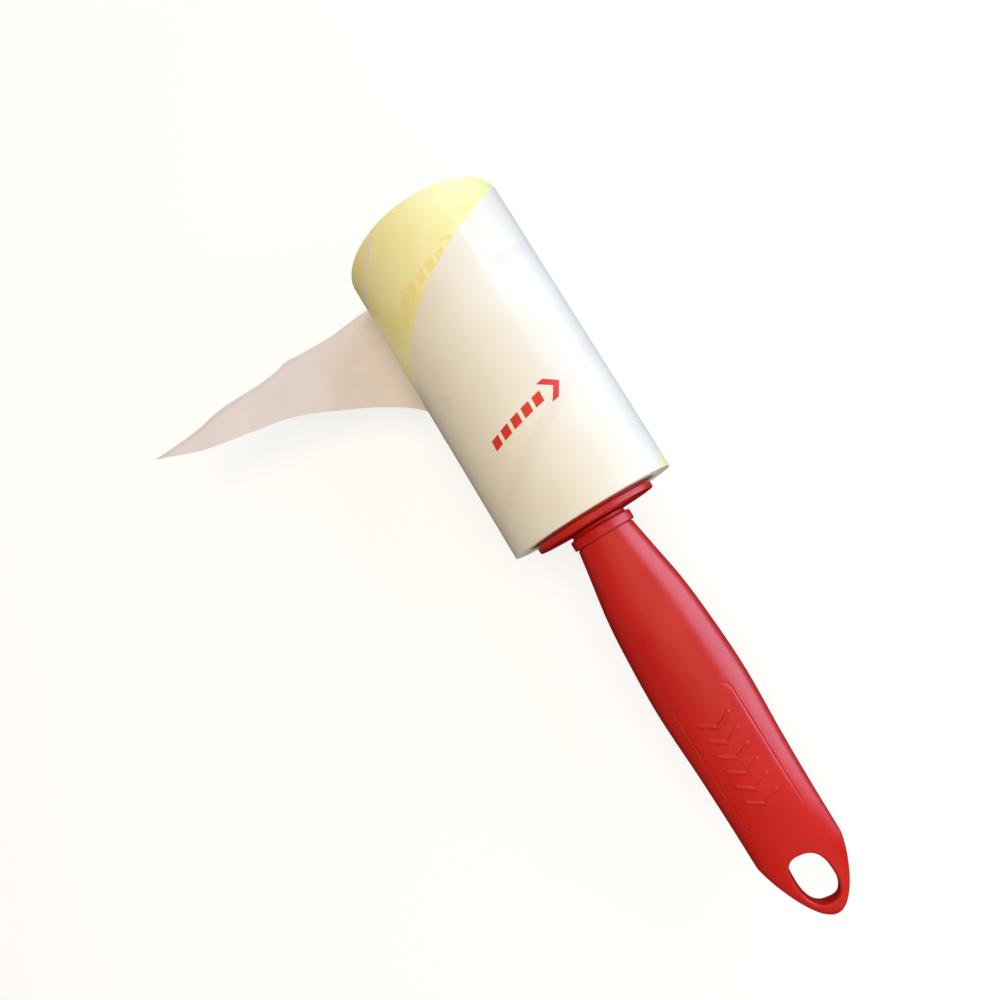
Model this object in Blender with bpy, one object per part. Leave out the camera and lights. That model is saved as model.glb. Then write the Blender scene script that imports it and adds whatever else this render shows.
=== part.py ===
"""Lint roller: a sticky-paper refill on a spool that spins on an axle plugged into a two-shell handle.

Metres, +Z up. The spin axis is the X axis: x = 0 is the roll's far end and the hanging slot is at
the other end. The handle's wide faces look along +Z and -Z. The peeled corner of the outermost
sheet leaves the roll low on its -Y side. Angles round the roll run from +Y (0) over the top (90).
"""

import math

import bmesh
import bpy

MM = 0.001
GAP = 0.3 * MM                      # clearance between pieces that touch

# Refill: cardboard core, winding, next sheet, outermost sheet
ROLL_LENGTH = 100.0 * MM
ROLL_RADIUS = 27.0 * MM
SHEET_THICKNESS = 0.25 * MM
CORE_INNER_RADIUS = 19.2 * MM
CORE_WALL = 2.4 * MM
ROLL_SEGMENTS = 48

# Spiral cut of the sheets, and the corner that is peeled off
CUT_START_ANGLE = math.radians(6.0)          # where the cut leaves the far rim
CUT_LEAD = 94.0 * MM                         # advance of the cut along X in one full turn
PEEL_ANGLE = math.radians(216.0)             # line from which the corner hangs off the roll
FLAP_THICKNESS = 0.3 * MM
FLAP_TIP_Y = -122.0 * MM
FLAP_TIP_Z = 2.0 * MM
FLAP_ROOT_SLOPE = math.radians(24.0)         # upward slope of the flap where it leaves the roll
FLAP_ROOT_PULL = 46.0 * MM                   # how far that slope is felt along the flap
FLAP_TAPER = 36.0 * MM                       # straight part of the flap's width at its root
FLAP_FLARE = 15.0 * MM                       # extra width that flares in close to the root
FLAP_FLARE_POWER = 6

# Axle and its collar
SHAFT_RADIUS = 4.0 * MM
BARB_RADIUS = 5.6 * MM
BARB_START = 3.6 * MM
BARB_END = 7.6 * MM
BARB_SPLIT_WIDTH = 1.2 * MM
BARB_SPLIT_END = 22.0 * MM
NECK_RADIUS = 8.95 * MM
COLLAR_RADIUS = 10.25 * MM
COLLAR_START = 104.5 * MM
COLLAR_END = 107.7 * MM
COLLAR_ROUND = 1.2 * MM
PLUG_RADIUS = 6.6 * MM
PLUG_HEAD_RADIUS = 8.0 * MM
PLUG_HEAD_START = 132.8 * MM
PLUG_END = 135.6 * MM

# Spool: hub tube, flange, fins and end rings
BORE_RADIUS = SHAFT_RADIUS + 0.35 * MM
HUB_RADIUS = 8.2 * MM
HUB_START = 2.8 * MM
POCKET_RADIUS = 6.6 * MM
POCKET_END = 8.0 * MM
GRIP_RADIUS = CORE_INNER_RADIUS - GAP
GRIP_WALL = 1.6 * MM
GRIP_RING_LENGTH = 7.0 * MM
FLANGE_RADIUS = 19.7 * MM
FLANGE_START = ROLL_LENGTH + 0.7 * MM
FLANGE_THICKNESS = 2.1 * MM
FLANGE_CHAMFER = 0.5 * MM
FIN_COUNT = 6
FIN_THICKNESS = 1.5 * MM
FIN_START = 7.2 * MM
HUB_SEGMENTS = 32

# Spool end cap
CAP_DISC_THICKNESS = 2.4 * MM
CAP_CHAMFER = 0.6 * MM
CAP_SKIRT_RADIUS = GRIP_RADIUS - GRIP_WALL - GAP
CAP_SKIRT_WALL = 1.6 * MM
CAP_SKIRT_END = 6.4 * MM

# Handle
HANDLE_START = COLLAR_END + GAP
SHOULDER_X = 214.5 * MM
HANDLE_END = 235.4 * MM
HANDLE_WALL = 2.0 * MM
CAVITY_END = 208.0 * MM
PARTING_HALF_GAP = GAP / 2
SECTION_POWER = 2.3                          # 2 is an ellipse, more is boxier
TONGUE_POWERS = (1.25, 0.56)                 # plan shape of the end beyond the shoulder
# Half widths (Y) and half heights (Z) of the grip at stations along X
GRIP_HALF_WIDTHS = [(108.0, 9.35), (118.0, 10.95), (130.0, 12.85), (143.0, 13.95), (162.0, 14.6),
                    (184.0, 13.7), (200.0, 13.3), (214.5, 13.2)]
GRIP_HALF_HEIGHTS = [(108.0, 9.3), (122.0, 10.1), (142.0, 10.9), (165.0, 11.1), (188.0, 10.0),
                     (203.0, 8.2), (214.5, 5.4), (223.0, 3.2), (231.0, 2.2), (235.4, 1.9)]
SECTION_SEGMENTS = 16
GRIP_STATIONS = 14
TONGUE_STATIONS = 9

# Ribs inside the shells that cradle the axle's plug
RIB_STARTS = (117.0 * MM, 130.6 * MM)
RIB_THICKNESS = 1.8 * MM
RIB_BORE_RADIUS = PLUG_RADIUS + GAP
RIB_ROOT = 0.5 * MM                          # how far a rib runs into the shell's wall

# Hanging slot through the end of the handle
SLOT_X = 222.9 * MM
SLOT_HALF_LENGTH = 8.0 * MM
SLOT_HALF_WIDTH = 5.6 * MM
SLOT_POWER = 2.6
SLOT_SEGMENTS = 40

RED_PLASTIC = ((0.52, 0.012, 0.010), 0.38)
CAP_PLASTIC = ((0.42, 0.010, 0.010), 0.42)
WHITE_PAPER = ((0.83, 0.80, 0.74), 0.22)
YELLOW_PAPER = ((0.83, 0.76, 0.28), 0.30)
BACKING_PAPER = ((0.74, 0.66, 0.63), 0.60)
WOUND_PAPER = ((0.78, 0.77, 0.74), 0.75)
CARDBOARD = ((0.42, 0.30, 0.19), 0.85)


def clear_scene():
    for obj in list(bpy.data.objects):
        bpy.data.objects.remove(obj, do_unlink=True)


def finish(bm, name, look=None, smooth_angle=math.radians(35)):
    """Turn a bmesh into a named object with its own material."""
    bmesh.ops.recalc_face_normals(bm, faces=bm.faces[:])
    mesh = bpy.data.meshes.new(name)
    bm.to_mesh(mesh)
    bm.free()
    mesh.shade_smooth()
    mesh.set_sharp_from_angle(angle=smooth_angle)
    obj = bpy.data.objects.new(name, mesh)
    bpy.context.collection.objects.link(obj)
    if look:
        colour, roughness = look
        material = bpy.data.materials.new(name)
        material.use_nodes = True
        shader = material.node_tree.nodes["Principled BSDF"]
        shader.inputs["Base Color"].default_value = (*colour, 1.0)
        shader.inputs["Roughness"].default_value = roughness
        shader.inputs["Metallic"].default_value = 0.0
        mesh.materials.append(material)
    return obj


def combine(obj, other, operation):
    """Union with, or cut by, a helper object that isn't a piece of the roller itself."""
    other.hide_render = True
    other.display_type = "WIRE"
    modifier = obj.modifiers.new(other.name, "BOOLEAN")
    modifier.operation = operation
    modifier.solver = "EXACT"
    modifier.object = other


def turned(profile, segments):
    """Solid of revolution about X. A profile of (x, r) is closed, or starts and ends on the axis."""
    bm = bmesh.new()
    rings = []
    for x, r in profile:
        if r == 0.0:
            rings.append([bm.verts.new((x, 0.0, 0.0))])
            continue
        rings.append([])
        for k in range(segments):
            angle = math.tau * k / segments
            rings[-1].append(bm.verts.new((x, r * math.cos(angle), r * math.sin(angle))))
    on_axis = profile[0][1] == 0.0
    pairs = list(zip(rings, rings[1:])) + ([] if on_axis else [(rings[-1], rings[0])])
    for first, second in pairs:
        for k in range(segments):
            n = (k + 1) % segments
            corners = [first[k % len(first)], first[n % len(first)],
                       second[n % len(second)], second[k % len(second)]]
            bm.faces.new(list(dict.fromkeys(corners)))
    return bm


def tube_profile(start, end, inner, outer):
    return [(start, inner), (end, inner), (end, outer), (start, outer)]


def arc(cx, cr, radius, from_deg, to_deg, steps=3):
    """Points (x, r) on an arc in the turning plane."""
    angles = [math.radians(from_deg + (to_deg - from_deg) * k / steps) for k in range(steps + 1)]
    return [(cx + radius * math.cos(a), cr + radius * math.sin(a)) for a in angles]


def box(name, low, high):
    bm = bmesh.new()
    bmesh.ops.create_cube(bm, size=1.0)
    for vert in bm.verts:
        for axis in range(3):
            vert.co[axis] = low[axis] if vert.co[axis] < 0 else high[axis]
    return finish(bm, name)


def track(points):
    """A smooth curve through (x, value) points given in millimetres, as a function in metres."""
    slopes = []
    for k in range(len(points)):
        before, after = points[max(k - 1, 0)], points[min(k + 1, len(points) - 1)]
        slopes.append((after[1] - before[1]) / (after[0] - before[0]))

    def value(x):
        x = min(max(x / MM, points[0][0]), points[-1][0])
        k = max(i for i in range(len(points) - 1) if points[i][0] <= x)
        (x0, v0), (x1, v1) = points[k], points[k + 1]
        span = x1 - x0
        t = (x - x0) / span
        blend = t * t * (3 - 2 * t)
        lead_in = span * slopes[k] * t * (1 - t) ** 2
        lead_out = span * slopes[k + 1] * t * t * (t - 1)
        return (v0 + (v1 - v0) * blend + lead_in + lead_out) * MM

    return value


grip_half_width = track(GRIP_HALF_WIDTHS)
grip_half_height = track(GRIP_HALF_HEIGHTS)


def tongue_factor(x):
    """1 up to the shoulder, then down to 0 at the rounded tip."""
    along = min(max((x - SHOULDER_X) / (HANDLE_END - SHOULDER_X), 0.0), 1.0)
    inner, outer = TONGUE_POWERS
    return (1.0 - along ** inner) ** outer


def half_section(x, side, inset, base=PARTING_HALF_GAP):
    """Points round one half of the grip's cross-section, from +Y over to -Y."""
    width = grip_half_width(x) * tongue_factor(x) - inset
    rounding = min(1.0, 3.0 * tongue_factor(x))
    height = (grip_half_height(x) - inset) * rounding
    points = []
    for k in range(SECTION_SEGMENTS + 1):
        angle = math.pi * k / SECTION_SEGMENTS
        across, up = math.cos(angle), math.sin(angle)
        y = width * math.copysign(abs(across) ** (2 / SECTION_POWER), across)
        z = base + max(height - base, 0.0) * abs(up) ** (2 / SECTION_POWER)
        points.append((x, y, side * z))
    return points


def loft(sections, tip=None):
    """Skin closed sections, with a flat cap on each end or a pointed end at tip."""
    bm = bmesh.new()
    rings = [[bm.verts.new(point) for point in section] for section in sections]
    for first, second in zip(rings, rings[1:]):
        for k in range(len(first)):
            n = (k + 1) % len(first)
            bm.faces.new((first[k], first[n], second[n], second[k]))
    bm.faces.new(rings[0])
    if tip is None:
        bm.faces.new(rings[-1])
    else:
        point = bm.verts.new(tip)
        for k in range(len(rings[-1])):
            n = (k + 1) % len(rings[-1])
            bm.faces.new((rings[-1][k], rings[-1][n], point))
    return bm


def slot_cutter(name):
    outline = []
    for k in range(SLOT_SEGMENTS):
        angle = math.tau * k / SLOT_SEGMENTS
        across, along = math.sin(angle), math.cos(angle)
        x = SLOT_X + SLOT_HALF_LENGTH * math.copysign(abs(along) ** (2 / SLOT_POWER), along)
        y = SLOT_HALF_WIDTH * math.copysign(abs(across) ** (2 / SLOT_POWER), across)
        outline.append((x, y))
    reach = 12.0 * MM
    return finish(loft([[(x, y, z) for x, y in outline] for z in (-reach, reach)]), name)


def handle_shell(name, side):
    """Half of the hollow grip: side +1 is the front, -1 the back."""
    stations = [HANDLE_START + (SHOULDER_X - HANDLE_START) * k / GRIP_STATIONS
                for k in range(GRIP_STATIONS + 1)]
    for k in range(1, TONGUE_STATIONS):
        eased = math.sin(0.5 * math.pi * k / TONGUE_STATIONS)
        stations.append(SHOULDER_X + (HANDLE_END - SHOULDER_X) * eased)
    tip = (HANDLE_END, 0.0, side * PARTING_HALF_GAP)
    shell = finish(loft([half_section(x, side, 0.0) for x in stations], tip), name, RED_PLASTIC)

    cavity_start = HANDLE_START - 2 * MM
    inside = []
    for k in range(GRIP_STATIONS + 1):
        x = cavity_start + (CAVITY_END - cavity_start) * k / GRIP_STATIONS
        lining = half_section(x, side, HANDLE_WALL)
        open_side = -side * 1.0 * MM
        inside.append([*lining, (x, lining[-1][1], open_side), (x, lining[0][1], open_side)])
    combine(shell, finish(loft(inside), name + "_cavity"), "DIFFERENCE")
    for k, start in enumerate(RIB_STARTS):
        plate = [half_section(x, side, HANDLE_WALL - RIB_ROOT, 3 * PARTING_HALF_GAP)
                 for x in (start, start + RIB_THICKNESS)]
        combine(shell, finish(loft(plate), f"{name}_rib_{k + 1}"), "UNION")
    bore = [(cavity_start, 0.0), (cavity_start, RIB_BORE_RADIUS), (PLUG_END, RIB_BORE_RADIUS),
            (PLUG_END, 0.0)]
    combine(shell, finish(turned(bore, HUB_SEGMENTS), name + "_plug_bore"), "DIFFERENCE")
    combine(shell, slot_cutter(name + "_slot"), "DIFFERENCE")
    return shell


def axle_stem():
    """Shaft with a split snap barb, neck, rounded collar and the headed plug inside the handle."""
    profile = [(BARB_START, 0.0), (BARB_START, SHAFT_RADIUS - 0.6 * MM),
               (BARB_START + 2.4 * MM, BARB_RADIUS), (BARB_END, BARB_RADIUS),
               (BARB_END, SHAFT_RADIUS)]
    neck_start = FLANGE_START + FLANGE_THICKNESS + GAP
    profile += [(neck_start, SHAFT_RADIUS), (neck_start, NECK_RADIUS), (COLLAR_START, NECK_RADIUS)]
    shoulder = COLLAR_RADIUS - COLLAR_ROUND
    profile += arc(COLLAR_START + COLLAR_ROUND, shoulder, COLLAR_ROUND, 175, 90)
    profile += arc(COLLAR_END - COLLAR_ROUND, shoulder, COLLAR_ROUND, 90, 5)
    profile += [(COLLAR_END, PLUG_RADIUS), (PLUG_HEAD_START, PLUG_RADIUS),
                (PLUG_HEAD_START, PLUG_HEAD_RADIUS), (PLUG_END, PLUG_HEAD_RADIUS), (PLUG_END, 0.0)]
    stem = finish(turned(profile, HUB_SEGMENTS), "axle_stem", RED_PLASTIC)
    reach = 2 * BARB_RADIUS
    half_split = BARB_SPLIT_WIDTH / 2
    split = box("barb_split", (0.0, -reach, -half_split), (BARB_SPLIT_END, reach, half_split))
    combine(stem, split, "DIFFERENCE")
    return stem


def spool_hub():
    """Hub tube with a pocket for the barb, a flange, two grip rings and the fins between them."""
    flange_end = FLANGE_START + FLANGE_THICKNESS
    grip_inner = GRIP_RADIUS - GRIP_WALL
    ring_start = FLANGE_START - GRIP_RING_LENGTH
    profile = [(POCKET_END, BORE_RADIUS), (flange_end, BORE_RADIUS),
               (flange_end, FLANGE_RADIUS - FLANGE_CHAMFER),
               (flange_end - FLANGE_CHAMFER, FLANGE_RADIUS),
               (FLANGE_START + FLANGE_CHAMFER, FLANGE_RADIUS),
               (FLANGE_START, FLANGE_RADIUS - FLANGE_CHAMFER), (FLANGE_START, GRIP_RADIUS),
               (ring_start, GRIP_RADIUS), (ring_start, grip_inner), (FLANGE_START, grip_inner),
               (FLANGE_START, HUB_RADIUS), (HUB_START, HUB_RADIUS), (HUB_START, POCKET_RADIUS),
               (POCKET_END, POCKET_RADIUS)]
    hub = finish(turned(profile, HUB_SEGMENTS), "spool_hub", RED_PLASTIC)
    far_ring = tube_profile(HUB_START, FIN_START + GRIP_RING_LENGTH, grip_inner, GRIP_RADIUS)
    combine(hub, finish(turned(far_ring, HUB_SEGMENTS), "hub_far_ring"), "UNION")
    for k in range(FIN_COUNT):
        low = (FIN_START, HUB_RADIUS - 0.6 * MM, -FIN_THICKNESS / 2)
        high = (FLANGE_START + 0.5 * MM, GRIP_RADIUS - 0.1 * MM, FIN_THICKNESS / 2)
        fin = box(f"hub_fin_{k + 1}", low, high)
        fin.rotation_euler[0] = math.tau * (k + 0.5) / FIN_COUNT
        combine(hub, fin, "UNION")
    return hub


def spool_end_cap():
    """Disc that closes the spool's far end, with a skirt inside the far grip ring."""
    skirt_inner = CAP_SKIRT_RADIUS - CAP_SKIRT_WALL
    profile = [(0.0, 0.0), (0.0, GRIP_RADIUS - CAP_CHAMFER), (CAP_CHAMFER, GRIP_RADIUS),
               (CAP_DISC_THICKNESS, GRIP_RADIUS), (CAP_DISC_THICKNESS, CAP_SKIRT_RADIUS),
               (CAP_SKIRT_END, CAP_SKIRT_RADIUS), (CAP_SKIRT_END, skirt_inner),
               (CAP_DISC_THICKNESS, skirt_inner), (CAP_DISC_THICKNESS, 0.0)]
    return finish(turned(profile, HUB_SEGMENTS), "spool_end_cap", CAP_PLASTIC)


def cut_x(angle):
    """X of the spiral cut at an angle round the roll."""
    return CUT_LEAD * (angle - CUT_START_ANGLE) / math.tau


def thicken(bm, offsets):
    """Close an open sheet: each vertex moves by its offset to make the second face and the rim."""
    faces = bm.faces[:]
    rim = [edge for edge in bm.edges if edge.is_boundary]
    twins = {vert: bm.verts.new(vert.co + offsets(vert.co)) for vert in bm.verts[:]}
    for face in faces:
        bm.faces.new([twins[vert] for vert in reversed(face.verts)])
    for edge in rim:
        a, b = edge.verts
        bm.faces.new((a, b, twins[b], twins[a]))
    return bm


def outer_sheet():
    """The outermost sheet where it still lies on the roll: a sleeve without the peeled corner."""
    turns = [math.tau * k / ROLL_SEGMENTS for k in range(ROLL_SEGMENTS)]
    turns = sorted(turns + [CUT_START_ANGLE, PEEL_ANGLE])
    corner_x = cut_x(PEEL_ANGLE)
    bm = bmesh.new()
    grid = {}

    def vertex(angle, x):
        key = (round(angle % math.tau, 6), round(x / MM, 3))
        if key not in grid:
            radius = ROLL_RADIUS
            grid[key] = bm.verts.new((x, radius * math.cos(angle), radius * math.sin(angle)))
        return grid[key]

    def panel(a, b, low_a, low_b, high):
        corners = [vertex(a, low_a), vertex(b, low_b), vertex(b, high), vertex(a, high)]
        corners = list(dict.fromkeys(corners))
        if len(corners) > 2:
            bm.faces.new(corners)

    for k, a in enumerate(turns):
        b = turns[(k + 1) % len(turns)] + (math.tau if k + 1 == len(turns) else 0.0)
        panel(a, b, corner_x, corner_x, ROLL_LENGTH)
        middle = 0.5 * (a + b)
        if CUT_START_ANGLE < middle < PEEL_ANGLE:
            panel(a, b, cut_x(a), cut_x(b), corner_x)
        else:
            panel(a, b, 0.0, 0.0, corner_x)
    inward = SHEET_THICKNESS / ROLL_RADIUS

    def offset(co):
        step = co * -inward
        step.x = 0.0
        return step

    return finish(thicken(bm, offset), "outer_sheet", WHITE_PAPER)


def flap_point(remaining):
    """Y and Z of the flap's middle surface, from 1 at the roll to 0 at the tip."""
    root_radius = ROLL_RADIUS - SHEET_THICKNESS / 2
    root_angle = PEEL_ANGLE - (GAP + FLAP_THICKNESS) / ROLL_RADIUS
    root = (root_radius * math.cos(root_angle), root_radius * math.sin(root_angle))
    pull = (root[0] - FLAP_ROOT_PULL * math.cos(FLAP_ROOT_SLOPE),
            root[1] + FLAP_ROOT_PULL * math.sin(FLAP_ROOT_SLOPE))
    tip = (FLAP_TIP_Y, FLAP_TIP_Z)
    t = 1.0 - remaining
    return [(1 - t) ** 2 * root[i] + 2 * t * (1 - t) * pull[i] + t * t * tip[i] for i in (0, 1)]


def flap_width(remaining):
    return FLAP_TAPER * remaining + FLAP_FLARE * remaining ** FLAP_FLARE_POWER


def peeled_flap():
    """The peeled corner: a long tapering tail, widest at the roll."""
    lengthwise, across = 28, 4
    rows = []
    bm = bmesh.new()
    for i in range(lengthwise):
        remaining = 1.0 - i / lengthwise
        y, z = flap_point(remaining)
        width = flap_width(remaining)
        rows.append([bm.verts.new((width * j / across, y, z)) for j in range(across + 1)])
    tip_y, tip_z = flap_point(0.0)
    tip = bm.verts.new((0.0, tip_y, tip_z))
    for first, second in zip(rows, rows[1:]):
        for j in range(across):
            bm.faces.new((first[j], first[j + 1], second[j + 1], second[j]))
    for j in range(across):
        bm.faces.new((rows[-1][j], rows[-1][j + 1], tip))
    bm.normal_update()
    normals = {tuple(vert.co): vert.normal.copy() for vert in bm.verts}
    side = -1.0 if normals[tuple(tip.co)].z > 0 else 1.0
    return finish(thicken(bm, lambda co: normals[tuple(co)] * side * FLAP_THICKNESS),
                  "peeled_flap", BACKING_PAPER)


def roll_sleeve(name, inner, outer, look):
    return finish(turned(tube_profile(0.0, ROLL_LENGTH, inner, outer), ROLL_SEGMENTS), name, look)


def refill():
    """The replaceable roll, from its cardboard core out to the sheet in use."""
    core_outer = CORE_INNER_RADIUS + CORE_WALL
    next_outer = ROLL_RADIUS - SHEET_THICKNESS - GAP
    next_inner = next_outer - SHEET_THICKNESS
    roll_sleeve("core_tube", CORE_INNER_RADIUS, core_outer, CARDBOARD)
    roll_sleeve("paper_winding", core_outer + GAP, next_inner - GAP, WOUND_PAPER)
    roll_sleeve("next_sheet", next_inner, next_outer, YELLOW_PAPER)
    outer_sheet()
    peeled_flap()


def main():
    clear_scene()
    handle_shell("handle_front_shell", 1)
    handle_shell("handle_back_shell", -1)
    axle_stem()
    spool_hub()
    spool_end_cap()
    refill()


main()
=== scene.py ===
import math

import bmesh
import bpy
import numpy as np
from mathutils import Matrix, Vector, noise
from mathutils.geometry import delaunay_2d_cdt


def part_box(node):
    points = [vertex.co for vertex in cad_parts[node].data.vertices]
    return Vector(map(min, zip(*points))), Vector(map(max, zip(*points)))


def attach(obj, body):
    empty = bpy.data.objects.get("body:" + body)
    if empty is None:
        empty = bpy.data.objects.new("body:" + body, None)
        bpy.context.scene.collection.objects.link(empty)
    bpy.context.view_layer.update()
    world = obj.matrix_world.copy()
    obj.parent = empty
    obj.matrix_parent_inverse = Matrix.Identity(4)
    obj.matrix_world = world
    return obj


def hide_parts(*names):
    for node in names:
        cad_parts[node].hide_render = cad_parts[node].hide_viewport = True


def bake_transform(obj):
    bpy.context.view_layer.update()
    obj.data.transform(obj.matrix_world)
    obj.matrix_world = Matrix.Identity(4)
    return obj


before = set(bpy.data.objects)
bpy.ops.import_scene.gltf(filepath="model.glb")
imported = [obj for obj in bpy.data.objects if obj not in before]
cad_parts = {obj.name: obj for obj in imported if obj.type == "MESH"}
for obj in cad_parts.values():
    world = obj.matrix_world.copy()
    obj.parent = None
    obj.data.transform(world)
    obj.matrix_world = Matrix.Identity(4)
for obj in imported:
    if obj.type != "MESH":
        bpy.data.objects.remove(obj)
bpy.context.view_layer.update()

# The part's frame: X along the spin axis from the roll's far end to the hanging slot, +Z up.
# Angles round the roll run from +Y (0) over the top (90 degrees) to -Y (180), then underneath.

MM = 0.001
roll_low, roll_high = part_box("outer_sheet")
core_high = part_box("core_tube")[1]
hub_low, hub_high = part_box("spool_hub")
handle_low, handle_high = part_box("handle_front_shell")

ROLL_RADIUS = roll_high.z
ROLL_LENGTH = roll_high.x
FLOOR_Z = roll_low.z
HANDLE_START = handle_low.x
HANDLE_END = handle_high.x

# ---------------------------------------------------------------------------- the wound sheets
PAPER = 0.10 * MM                           # thickness of one sheet
TURN_STEP = 0.11 * MM                       # how much deeper the sheet lies after one turn
CUT_START = math.radians(6.0)               # where the spiral cut leaves the far rim
CUT_LEAD = 94.0 * MM                        # advance of the cut along X in one turn
PEEL_ANGLE = math.radians(216.0)            # line where the peeled corner leaves the roll
CUT_BEND_AT = math.radians(172.0)           # the peeled cut bows towards the handle here
CUT_BEND_SPREAD = math.radians(16.0)
CUT_BEND = 4.0 * MM
CUT_SHADOW_TURN = 0.434                     # where the painted shade of the next cut lies, in turns
BARE_SEAM_START = math.radians(108.0)       # the bare seam of the sticky sheet
BARE_SEAM_TURN = math.radians(75.0)
BARE_SEAM_RISE = 0.0188                     # metres along X per radian, and per radian squared
BARE_SEAM_BEND = 0.0081
PERFORATION_PITCH = 2.2 * MM
PERFORATION_DEPTH = 0.12 * MM
NEXT_RADIUS = ROLL_RADIUS - 0.12 * MM
WINDING_RADIUS = NEXT_RADIUS - 0.12 * MM
RIDGE_PITCH = 0.29 * MM                     # a few turns share each ridge drawn on the roll's ends
CORE_INNER = 19.2 * MM
CORE_OUTER = core_high.z

# ---------------------------------------------------------------------------- spool and axle
SHAFT_RADIUS = 4.0 * MM
BARB_RADIUS = 5.6 * MM
BARB_START, BARB_END = 3.6 * MM, 7.6 * MM
BARB_SPLIT = (1.2 * MM, 22.0 * MM)          # width and depth of the slit
NECK_RADIUS = 8.95 * MM
NECK_START = 103.1 * MM
COLLAR_RADIUS = 10.25 * MM
COLLAR_START, COLLAR_END = 104.5 * MM, 107.7 * MM
COLLAR_ROUND = 1.4 * MM
SEAT_RADIUS = 9.1 * MM                      # the grip's end sits on this under the collar
SEAT_END = HANDLE_START + 0.1 * MM
PLUG_RADIUS = 6.6 * MM
PLUG_HEAD_RADIUS = 8.0 * MM
PLUG_HEAD_START, PLUG_END = 132.8 * MM, 135.6 * MM
BORE_RADIUS = SHAFT_RADIUS + 0.35 * MM
HUB_RADIUS = 8.2 * MM
HUB_START = hub_low.x
POCKET_RADIUS, POCKET_END = 6.6 * MM, 8.0 * MM
GRIP_RADIUS = CORE_INNER - 0.3 * MM
GRIP_WALL = 1.6 * MM
GRIP_RING = 7.0 * MM
FLANGE_RADIUS = hub_high.z
FLANGE_START = ROLL_LENGTH + 0.7 * MM
FLANGE_END = hub_high.x
DISH_DEPTH = 0.5 * MM                       # shallow ring-shaped dish in the flange's face
DISH_RADII = (13.2 * MM, 13.6 * MM, 17.4 * MM, 17.8 * MM)
FIN_COUNT = 6
FIN_THICKNESS = 1.5 * MM
FIN_START = 7.2 * MM
CAP_DISC = 2.4 * MM
CAP_SKIRT_END = 6.4 * MM
CAP_RIBS = 8
CAP_RECESS = 0.9 * MM
CAP_RECESS_RADII = (6.0 * MM, 6.4 * MM, 15.2 * MM, 15.6 * MM)
CAP_RIB_LOW = (0.35 * MM, 5.2 * MM, -0.6 * MM)
CAP_RIB_HIGH = (1.6 * MM, 16.2 * MM, 0.6 * MM)

# ---------------------------------------------------------------------------- handle
SHOULDER_X = 214.5 * MM
SECTION_POWER = 2.3                         # 2 is an ellipse, more is boxier
GRIP_SPREAD = 13.0 * MM                     # scales the section angle to a length for meshing
TONGUE_POWERS = (1.25, 0.56)                # plan shape of the end beyond the shoulder
# Half widths (Y) and half heights (Z) of the grip at stations along X, in millimetres
GRIP_HALF_WIDTHS = [(108.0, 9.35), (118.0, 10.95), (130.0, 12.85), (143.0, 13.95), (162.0, 14.6),
                    (184.0, 13.7), (200.0, 13.3), (214.5, 13.2)]
GRIP_HALF_HEIGHTS = [(108.0, 9.3), (122.0, 10.1), (142.0, 10.9), (165.0, 11.1), (188.0, 10.0),
                     (203.0, 8.2), (214.5, 5.4), (223.0, 3.2), (231.0, 2.2), (235.4, 1.9)]
SLOT_X = 222.5 * MM
SLOT_HALF_LENGTH = 8.4 * MM
SLOT_HALF_WIDTH = 5.6 * MM
SLOT_POWER = 2.6
SLOT_ROUND = 0.9 * MM
SLOT_POINTS = 96
SEAM_HALF_GAP = 0.04 * MM
SEAM_GROOVE = 0.22 * MM
SEAM_GROOVE_REACH = 0.3 * MM
PANEL_START, PANEL_END = 160.0 * MM, 203.0 * MM
PANEL_HALF_WIDTH = 8.9 * MM
PANEL_CORNER = 3.0 * MM
PANEL_GROOVE_WIDTH = 0.32 * MM
PANEL_GROOVE_DEPTH = 0.18 * MM
CHEVRON_COUNT = 6
CHEVRON_START, CHEVRON_STEP = 168.0 * MM, 5.0 * MM
CHEVRON_HALF_WIDTH = 4.4 * MM
CHEVRON_SLOPE = 0.55                        # advance along X for each step across
CHEVRON_ACROSS = 0.88                       # distance across a rib for each step along X
CHEVRON_RIB = 0.70 * MM                     # half width of a raised rib
CHEVRON_HEIGHT = 0.30 * MM


def srgb(red, green, blue):
    """Linear colour of an sRGB triple from 0 to 255."""
    def linear(value):
        value /= 255
        return value / 12.92 if value <= 0.04045 else ((value + 0.055) / 1.055) ** 2.4
    return (linear(red), linear(green), linear(blue), 1.0)


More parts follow.
